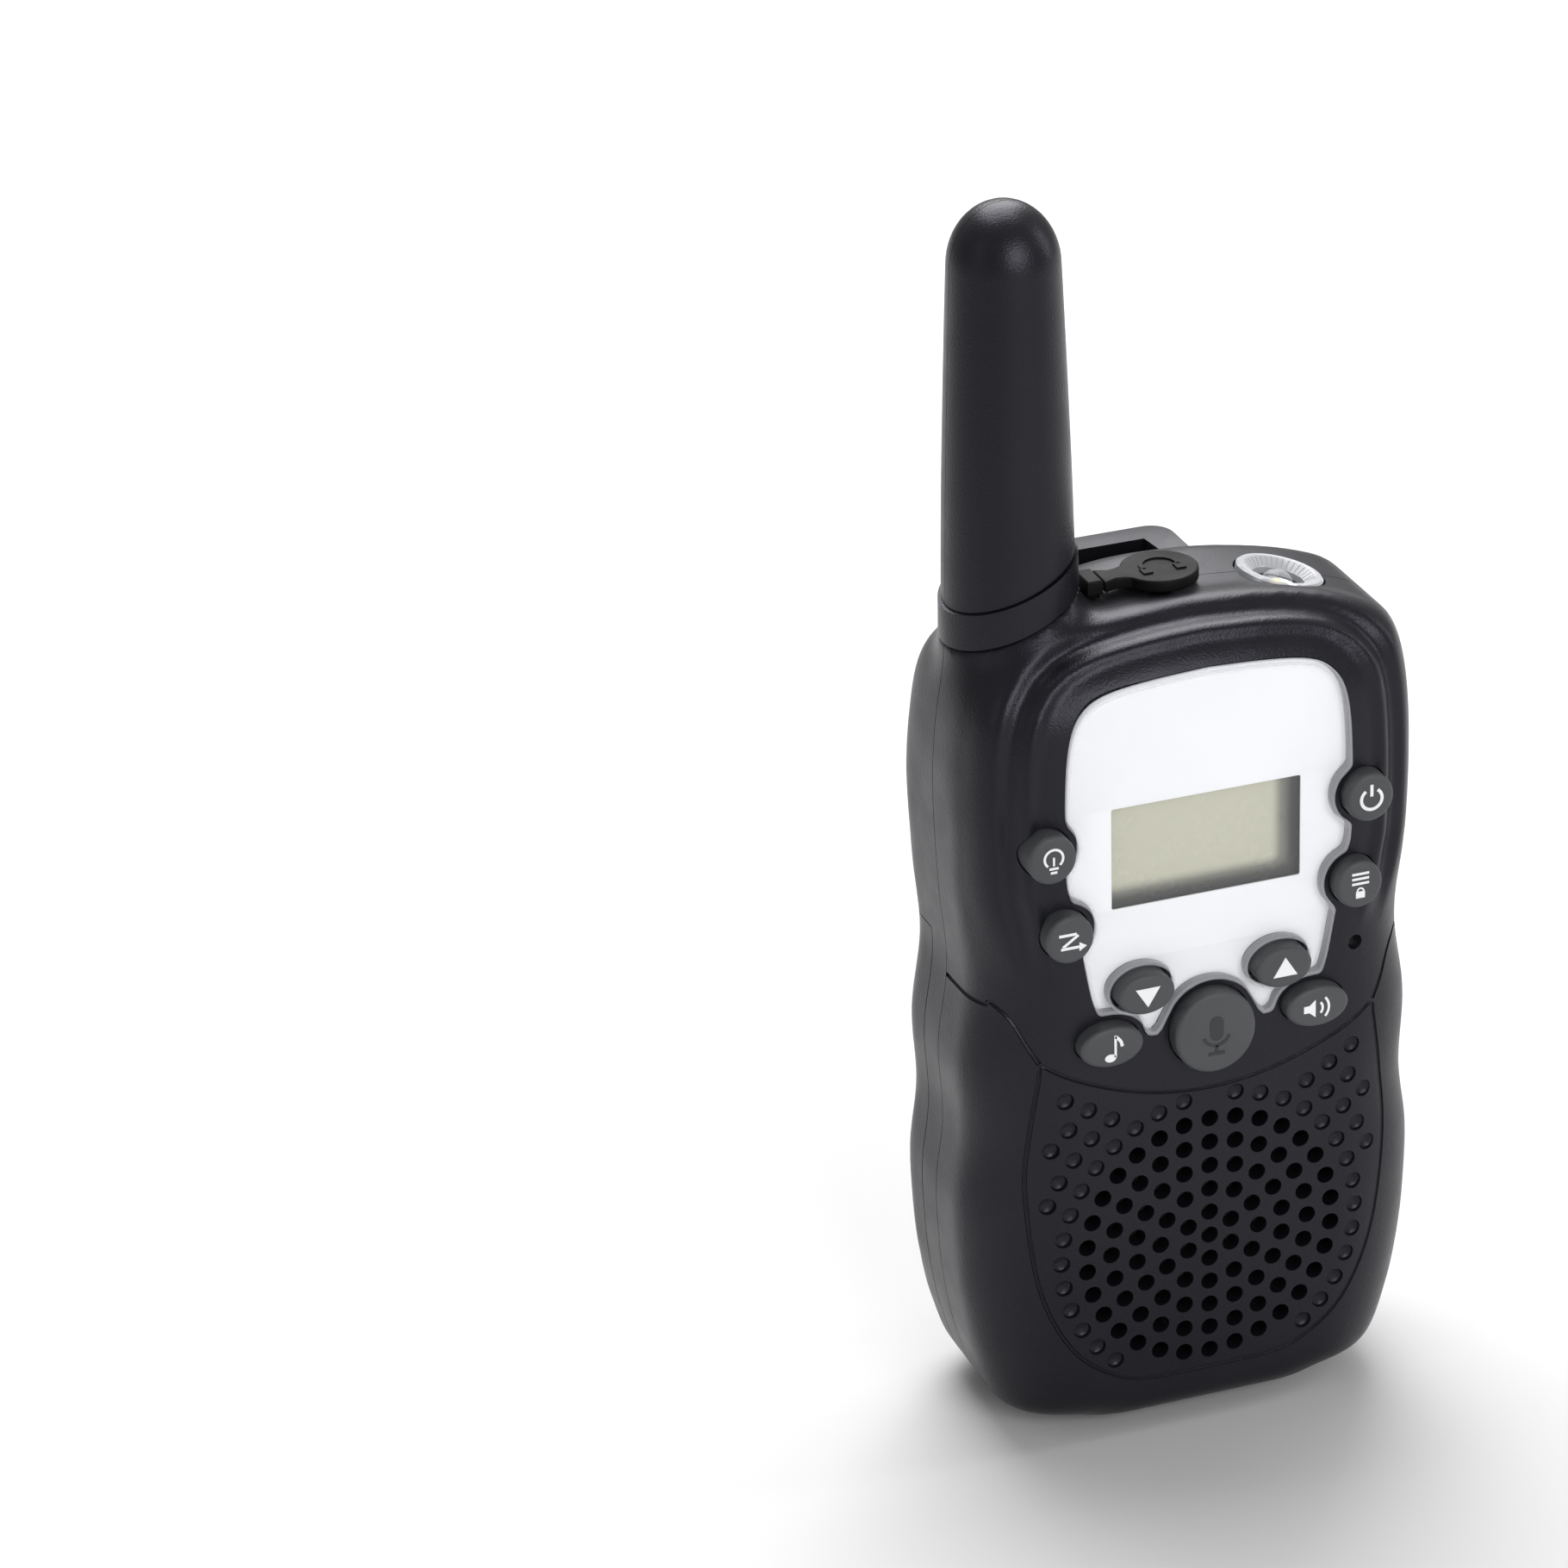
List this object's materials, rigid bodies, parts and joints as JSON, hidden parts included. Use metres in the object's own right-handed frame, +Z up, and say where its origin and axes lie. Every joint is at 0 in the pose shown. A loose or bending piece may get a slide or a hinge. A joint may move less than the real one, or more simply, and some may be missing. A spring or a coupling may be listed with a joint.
{
  "type": "walkie talkie",
  "caption": "Hand-held two-way radio: two-part black case with a stub antenna, display, keypad, round speaker grille, torch lamp, sliding battery cover and belt clip.",
  "frame": {"origin": "centre of the flat foot pad under the case, in the plane it stands on", "axes": "+Z up towards the antenna tip, -Y towards the display and the keys, +Y towards the belt clip, +X to the right seen from the front"},
  "size_m": [0.0588, 0.0373, 0.156],
  "materials": {
    "shell_black": "satin moulded black, fine texture",
    "rubber_black": "soft matt black",
    "key_rubber": "matt dark grey with white printed symbols",
    "clear_plastic": "clear polished plastic",
    "mask_silver": "silver-white print behind the lens",
    "lcd": "greenish beige display",
    "white_plastic": "white moulded",
    "label_white": "blank white label",
    "circuit_green": "green solder resist",
    "steel": "plain steel",
    "nickel": "nickel plated",
    "copper": "copper wire",
    "chip_black": "moulded black",
    "cone_paper": "pressed dark paper",
    "ferrite": "grey ferrite",
    "cell_wrap": "printed metal jacket, no marks"
  },
  "bodies": {
    "case": {"front_shell": "shell_black", "rear_shell": "shell_black", "antenna_front_half": "shell_black", "antenna_rear_half": "shell_black", "antenna_collar": "shell_black", "jack_strap_anchor": "rubber_black", "keypad_membrane": "rubber_black", "speaker_gasket": "rubber_black", "zebra_strip": "rubber_black", "display_lens": "clear_plastic", "led_lens_ring": "clear_plastic", "led_lamp": "clear_plastic", "display_mask": "mask_silver", "lcd_glass": "lcd", "lcd_frame": "white_plastic", "backlight_plate": "white_plastic", "label_sticker": "label_white", "main_pcb": "circuit_green", "dome_sheet": "steel", "rf_shield": "steel", "mic_capsule": "steel", "speaker_frame": "steel", "screw_1": "steel", "screw_2": "steel", "screw_3": "steel", "screw_4": "steel", "contact_spring_1": "nickel", "contact_spring_2": "nickel", "contact_spring_3": "nickel", "contact_spring_4": "nickel", "contact_plate_lower_left": "nickel", "contact_plate_lower_right": "nickel", "contact_plate_upper": "nickel", "terminal_positive": "nickel", "terminal_negative": "nickel", "antenna_coil": "copper", "main_ic": "chip_black", "jack_socket": "chip_black", "speaker_wire": "chip_black", "battery_wire": "chip_black", "speaker_cone": "cone_paper", "speaker_magnet": "ferrite", "battery_1": "cell_wrap", "battery_2": "cell_wrap", "battery_3": "cell_wrap", "battery_4": "cell_wrap"},
    "key_lamp": {"key_lamp": "key_rubber"},
    "key_power": {"key_power": "key_rubber"},
    "key_scan": {"key_scan": "key_rubber"},
    "key_menu": {"key_menu": "key_rubber"},
    "key_down": {"key_down": "key_rubber"},
    "key_up": {"key_up": "key_rubber"},
    "key_melody": {"key_melody": "key_rubber"},
    "key_monitor": {"key_monitor": "key_rubber"},
    "key_talk": {"key_talk": "key_rubber"},
    "jack_cover": {"jack_cover": "rubber_black"},
    "belt_clip": {"belt_clip_base": "shell_black"},
    "clip_tongue": {"belt_clip_tongue": "shell_black"},
    "clip_catch": {"clip_catch": "shell_black"},
    "battery_cover": {"battery_cover": "shell_black"}
  },
  "joints": [
    {"name": "key_lamp_press", "type": "slide", "parent": "case", "child": "key_lamp", "axis": [0, 1, 0], "range_m": [0, 0.0008], "stiffness_N_per_m": 300},
    {"name": "key_power_press", "type": "slide", "parent": "case", "child": "key_power", "axis": [0, 1, 0], "range_m": [0, 0.0008], "stiffness_N_per_m": 300},
    {"name": "key_scan_press", "type": "slide", "parent": "case", "child": "key_scan", "axis": [0, 1, 0], "range_m": [0, 0.0008], "stiffness_N_per_m": 300},
    {"name": "key_menu_press", "type": "slide", "parent": "case", "child": "key_menu", "axis": [0, 1, 0], "range_m": [0, 0.0008], "stiffness_N_per_m": 300},
    {"name": "key_down_press", "type": "slide", "parent": "case", "child": "key_down", "axis": [0, 1, 0], "range_m": [0, 0.0008], "stiffness_N_per_m": 300},
    {"name": "key_up_press", "type": "slide", "parent": "case", "child": "key_up", "axis": [0, 1, 0], "range_m": [0, 0.0008], "stiffness_N_per_m": 300},
    {"name": "key_melody_press", "type": "slide", "parent": "case", "child": "key_melody", "axis": [0, 1, 0], "range_m": [0, 0.0008], "stiffness_N_per_m": 300},
    {"name": "key_monitor_press", "type": "slide", "parent": "case", "child": "key_monitor", "axis": [0, 1, 0], "range_m": [0, 0.0008], "stiffness_N_per_m": 300},
    {"name": "key_talk_press", "type": "slide", "parent": "case", "child": "key_talk", "axis": [0, 1, 0], "range_m": [0, 0.001], "stiffness_N_per_m": 300},
    {"name": "jack_cover_lift", "type": "hinge", "parent": "case", "child": "jack_cover", "pos_m": [-0.0076, 0.001, 0.1076], "axis": [0, -1, 0], "range_deg": [0, 75], "stiffness_Nm_per_rad": 0.005},
    {"name": "belt_clip_slide", "type": "slide", "parent": "case", "child": "belt_clip", "axis": [0, 0, 1], "range_m": [0, 0.022]},
    {"name": "clip_tongue_flex", "type": "hinge", "parent": "belt_clip", "child": "clip_tongue", "pos_m": [0, 0.02035, 0.1], "axis": [1, 0, 0], "range_deg": [0, 12], "stiffness_Nm_per_rad": 1},
    {"name": "clip_catch_flex", "type": "hinge", "parent": "case", "child": "clip_catch", "pos_m": [0, 0.01095, 0.0909], "axis": [1, 0, 0], "range_deg": [0, 5], "stiffness_Nm_per_rad": 0.5},
    {"name": "battery_cover_slide", "type": "slide", "parent": "case", "child": "battery_cover", "axis": [0, 0, -1], "range_m": [0, 0.062]}
  ]
}
